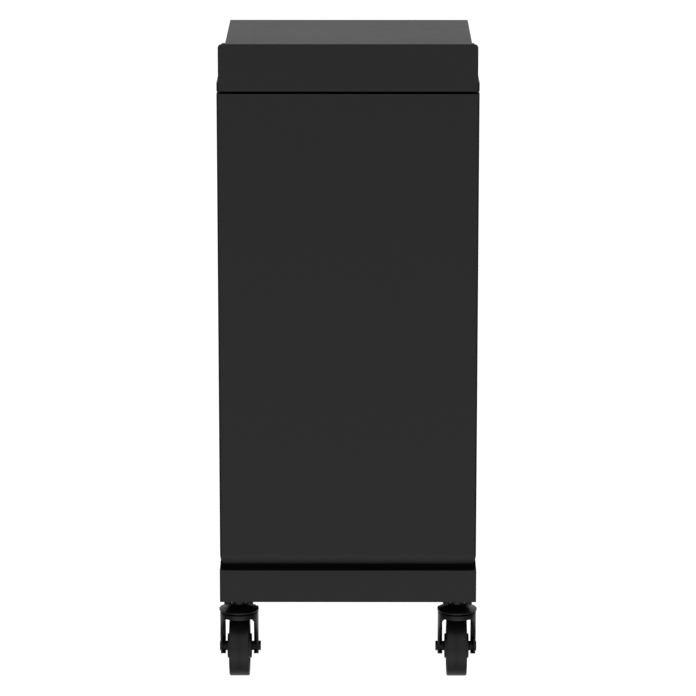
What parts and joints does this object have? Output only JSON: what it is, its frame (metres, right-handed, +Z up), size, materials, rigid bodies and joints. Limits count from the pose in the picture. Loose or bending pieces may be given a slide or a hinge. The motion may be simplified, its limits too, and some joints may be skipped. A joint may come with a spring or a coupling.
{
  "type": "chest of drawers",
  "caption": "Tall, narrow and deep black steel chest of drawers with full-width pulls, a raised plate along the rear of its top, and swivel casters.",
  "frame": {"origin": "on the floor, below the middle of the chest", "axes": "+Z up, +Y towards the plain rear face, +X towards the right-hand side of someone who stands in front of the drawers; the drawers open towards -Y"},
  "size_m": [0.4264, 0.6874, 1.0689],
  "materials": {
    "black_powder_coat": "satin black powder coat",
    "top_finish": "satin black powder coat, slightly smoother",
    "pull_finish": "satin black powder coat",
    "drawer_inside": "satin black powder coat",
    "inner_steel": "matt black",
    "slide_steel": "zinc plated",
    "caster_steel": "satin black coating",
    "blackened_fasteners": "black oxide",
    "wheel_core": "moulded black nylon",
    "tyre_rubber": "smooth black rubber tread"
  },
  "bodies": {
    "root": {"base_floor_plate": "inner_steel", "base_shell": "black_powder_coat", "case_floor": "black_powder_coat", "case_roof": "black_powder_coat", "case_wrap": "black_powder_coat", "caster_bolts": "blackened_fasteners", "caster_kingpins": "blackened_fasteners", "caster_top_plates": "caster_steel", "plinth_frame": "inner_steel", "rear_upstand": "black_powder_coat", "slide_outers": "slide_steel", "top_panel": "top_finish", "top_spacer": "inner_steel"},
    "drawer_1": {"drawer_1_box": "drawer_inside", "drawer_1_front": "black_powder_coat", "drawer_1_pull": "pull_finish", "drawer_1_slide_inners": "slide_steel"},
    "drawer_1_runners": {"drawer_1_slide_middles": "slide_steel"},
    "drawer_2": {"drawer_2_box": "drawer_inside", "drawer_2_front": "black_powder_coat", "drawer_2_pull": "pull_finish", "drawer_2_slide_inners": "slide_steel"},
    "drawer_2_runners": {"drawer_2_slide_middles": "slide_steel"},
    "drawer_3": {"drawer_3_box": "drawer_inside", "drawer_3_front": "black_powder_coat", "drawer_3_pull": "pull_finish", "drawer_3_slide_inners": "slide_steel"},
    "drawer_3_runners": {"drawer_3_slide_middles": "slide_steel"},
    "drawer_4": {"drawer_4_box": "drawer_inside", "drawer_4_front": "black_powder_coat", "drawer_4_pull": "pull_finish", "drawer_4_slide_inners": "slide_steel"},
    "drawer_4_runners": {"drawer_4_slide_middles": "slide_steel"},
    "drawer_5": {"drawer_5_box": "drawer_inside", "drawer_5_front": "black_powder_coat", "drawer_5_pull": "pull_finish", "drawer_5_slide_inners": "slide_steel"},
    "drawer_5_runners": {"drawer_5_slide_middles": "slide_steel"},
    "drawer_6": {"drawer_6_box": "drawer_inside", "drawer_6_front": "black_powder_coat", "drawer_6_pull": "pull_finish", "drawer_6_slide_inners": "slide_steel"},
    "drawer_6_runners": {"drawer_6_slide_middles": "slide_steel"},
    "rear_left_swivel": {"rear_left_fork": "caster_steel", "rear_left_axle": "blackened_fasteners"},
    "rear_left_wheel": {"rear_left_hub": "wheel_core", "rear_left_tyre": "tyre_rubber"},
    "rear_right_swivel": {"rear_right_fork": "caster_steel", "rear_right_axle": "blackened_fasteners"},
    "rear_right_wheel": {"rear_right_hub": "wheel_core", "rear_right_tyre": "tyre_rubber"},
    "front_left_swivel": {"front_left_fork": "caster_steel", "front_left_axle": "blackened_fasteners"},
    "front_left_wheel": {"front_left_hub": "wheel_core", "front_left_tyre": "tyre_rubber"},
    "front_right_swivel": {"front_right_fork": "caster_steel", "front_right_axle": "blackened_fasteners"},
    "front_right_wheel": {"front_right_hub": "wheel_core", "front_right_tyre": "tyre_rubber"}
  },
  "joints": [
    {"name": "drawer_1_slide", "type": "slide", "parent": "root", "child": "drawer_1", "axis": [0, -1, 0], "range_m": [0, 0.63]},
    {"name": "drawer_1_runner_slide", "type": "slide", "parent": "root", "child": "drawer_1_runners", "axis": [0, -1, 0], "range_m": [0, 0.315]},
    {"name": "drawer_2_slide", "type": "slide", "parent": "root", "child": "drawer_2", "axis": [0, -1, 0], "range_m": [0, 0.63]},
    {"name": "drawer_2_runner_slide", "type": "slide", "parent": "root", "child": "drawer_2_runners", "axis": [0, -1, 0], "range_m": [0, 0.315]},
    {"name": "drawer_3_slide", "type": "slide", "parent": "root", "child": "drawer_3", "axis": [0, -1, 0], "range_m": [0, 0.63]},
    {"name": "drawer_3_runner_slide", "type": "slide", "parent": "root", "child": "drawer_3_runners", "axis": [0, -1, 0], "range_m": [0, 0.315]},
    {"name": "drawer_4_slide", "type": "slide", "parent": "root", "child": "drawer_4", "axis": [0, -1, 0], "range_m": [0, 0.63]},
    {"name": "drawer_4_runner_slide", "type": "slide", "parent": "root", "child": "drawer_4_runners", "axis": [0, -1, 0], "range_m": [0, 0.315]},
    {"name": "drawer_5_slide", "type": "slide", "parent": "root", "child": "drawer_5", "axis": [0, -1, 0], "range_m": [0, 0.63]},
    {"name": "drawer_5_runner_slide", "type": "slide", "parent": "root", "child": "drawer_5_runners", "axis": [0, -1, 0], "range_m": [0, 0.315]},
    {"name": "drawer_6_slide", "type": "slide", "parent": "root", "child": "drawer_6", "axis": [0, -1, 0], "range_m": [0, 0.63]},
    {"name": "drawer_6_runner_slide", "type": "slide", "parent": "root", "child": "drawer_6_runners", "axis": [0, -1, 0], "range_m": [0, 0.315]},
    {"name": "rear_left_swivel_turn", "type": "hinge", "parent": "root", "child": "rear_left_swivel", "pos_m": [-0.1802, 0.311, 0.1184], "axis": [0, 0, 1], "continuous": true},
    {"name": "rear_left_wheel_roll", "type": "hinge", "parent": "rear_left_swivel", "child": "rear_left_wheel", "pos_m": [-0.1802, 0.283, 0.05], "axis": [1, 0, 0], "continuous": true},
    {"name": "rear_right_swivel_turn", "type": "hinge", "parent": "root", "child": "rear_right_swivel", "pos_m": [0.1802, 0.311, 0.1184], "axis": [0, 0, 1], "continuous": true},
    {"name": "rear_right_wheel_roll", "type": "hinge", "parent": "rear_right_swivel", "child": "rear_right_wheel", "pos_m": [0.1802, 0.283, 0.05], "axis": [1, 0, 0], "continuous": true},
    {"name": "front_left_swivel_turn", "type": "hinge", "parent": "root", "child": "front_left_swivel", "pos_m": [-0.1802, -0.311, 0.1184], "axis": [0, 0, 1], "continuous": true},
    {"name": "front_left_wheel_roll", "type": "hinge", "parent": "front_left_swivel", "child": "front_left_wheel", "pos_m": [-0.1802, -0.283, 0.05], "axis": [1, 0, 0], "continuous": true},
    {"name": "front_right_swivel_turn", "type": "hinge", "parent": "root", "child": "front_right_swivel", "pos_m": [0.1802, -0.311, 0.1184], "axis": [0, 0, 1], "continuous": true},
    {"name": "front_right_wheel_roll", "type": "hinge", "parent": "front_right_swivel", "child": "front_right_wheel", "pos_m": [0.1802, -0.283, 0.05], "axis": [1, 0, 0], "continuous": true}
  ],
  "couplings": [
    {"joint": "drawer_1_runner_slide", "follows": "drawer_1_slide", "ratio": 0.5},
    {"joint": "drawer_2_runner_slide", "follows": "drawer_2_slide", "ratio": 0.5},
    {"joint": "drawer_3_runner_slide", "follows": "drawer_3_slide", "ratio": 0.5},
    {"joint": "drawer_4_runner_slide", "follows": "drawer_4_slide", "ratio": 0.5},
    {"joint": "drawer_5_runner_slide", "follows": "drawer_5_slide", "ratio": 0.5},
    {"joint": "drawer_6_runner_slide", "follows": "drawer_6_slide", "ratio": 0.5}
  ]
}
